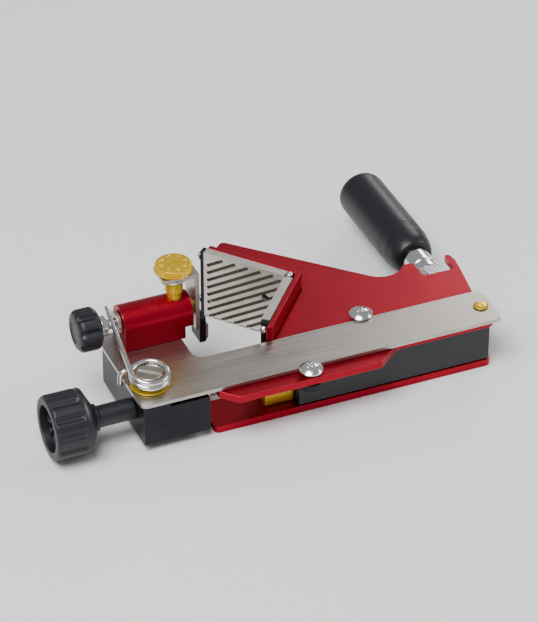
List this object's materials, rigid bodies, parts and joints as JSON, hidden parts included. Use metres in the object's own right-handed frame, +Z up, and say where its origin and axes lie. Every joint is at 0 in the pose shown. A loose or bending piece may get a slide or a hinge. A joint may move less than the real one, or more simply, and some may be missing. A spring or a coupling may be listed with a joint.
{
  "type": "edge tuning tool",
  "caption": "Hand tool with red clamp plates, a ribbed V cradle, a screw-fed sliding L plate, a sprung pin, a depth screw and a side handle.",
  "frame": {"origin": "centre of the footprint's box, on the surface that the lower plate lies on", "axes": "+X along the sliding strip, from the feed knob to the hook; +Y from the front edge of the strip towards the free end of the handle; +Z up, out of the upper plate"},
  "size_m": [0.1866, 0.1274, 0.056],
  "materials": {
    "red_aluminium": "red anodised",
    "brushed_steel": "brushed",
    "nickel_steel": "nickel plated",
    "bright_steel": "bright plated",
    "brass": "turned",
    "black_plastic": "moulded satin",
    "black_steel": "blackened",
    "grey_aluminium": "machined"
  },
  "bodies": {
    "frame": {"upper_plate": "red_aluminium", "lower_plate": "red_aluminium", "base_screw_1": "black_steel", "base_screw_2": "black_steel", "base_screw_3": "black_steel", "base_screw_4": "black_steel", "base_screw_5": "black_steel", "base_screw_6": "black_steel", "base_screw_7": "black_steel", "core_block": "black_plastic", "rear_pillar": "grey_aluminium", "front_guide_nut": "black_steel", "rear_guide_screw": "bright_steel", "front_guide_screw": "bright_steel", "v_cradle": "red_aluminium", "rear_rib_plate": "nickel_steel", "front_rib_plate": "nickel_steel", "rear_end_strip": "black_steel", "front_end_strip": "black_steel", "rear_end_screw_top": "bright_steel", "rear_end_screw_low": "bright_steel", "front_end_screw_top": "bright_steel", "front_end_screw_low": "bright_steel", "rear_face_screw": "black_steel", "front_face_screw": "black_steel", "apex_pin": "bright_steel", "feed_nut": "brass", "handle_socket": "grey_aluminium", "handle_stud": "bright_steel", "handle_nut": "bright_steel", "grip_washer": "brushed_steel"},
    "carriage": {"slide_plate": "brushed_steel", "end_rivet": "brass", "jaw_block": "black_steel", "spindle_block": "red_aluminium", "block_screw": "black_steel", "pin_bush": "brass", "spring_post": "brushed_steel", "spring_washer": "brass", "torsion_spring": "bright_steel"},
    "feed": {"feed_knob": "black_plastic", "feed_hub": "black_plastic", "feed_screw": "brushed_steel", "feed_collar": "brushed_steel"},
    "pin": {"index_pin": "brushed_steel", "pin_collar": "brushed_steel", "pull_knob_ferrule": "brushed_steel", "pull_knob": "black_plastic"},
    "blade_lift": {"blade_bracket": "brushed_steel", "blade_holder": "black_steel", "blade": "brushed_steel", "blade_screw": "black_steel"},
    "depth": {"depth_screw": "brass", "depth_ring": "brushed_steel"},
    "grip": {"handle_grip": "black_plastic", "grip_end_cap": "black_plastic"}
  },
  "joints": [
    {"name": "carriage_slide", "type": "slide", "parent": "frame", "child": "carriage", "axis": [1, 0, 0], "range_m": [-0.008, 0.018]},
    {"name": "feed_turn", "type": "hinge", "parent": "carriage", "child": "feed", "pos_m": [-0.0583, -0.0422, 0.014], "axis": [1, 0, 0], "range_deg": [-722, 1622]},
    {"name": "pin_pull", "type": "slide", "parent": "carriage", "child": "pin", "axis": [-1, 0, 0], "range_m": [0, 0.0055], "stiffness_N_per_m": 600, "springref_m": -0.003, "deforming": ["torsion_spring"]},
    {"name": "blade_lift_slide", "type": "slide", "parent": "carriage", "child": "blade_lift", "axis": [0, 0, 1], "range_m": [-0.0012, 0.0018]},
    {"name": "depth_turn", "type": "hinge", "parent": "blade_lift", "child": "depth", "pos_m": [-0.0304, -0.0143, 0.05], "axis": [0, 0, 1], "range_deg": [-434, 650]},
    {"name": "grip_spin", "type": "hinge", "parent": "frame", "child": "grip", "pos_m": [0.0833, 0.0337, 0.014], "axis": [0, 1, 0], "continuous": true}
  ],
  "couplings": [
    {"joint": "feed_turn", "follows": "carriage_slide", "rad_per_m": 1570.8},
    {"joint": "depth_turn", "follows": "blade_lift_slide", "rad_per_m": 6283.2}
  ]
}
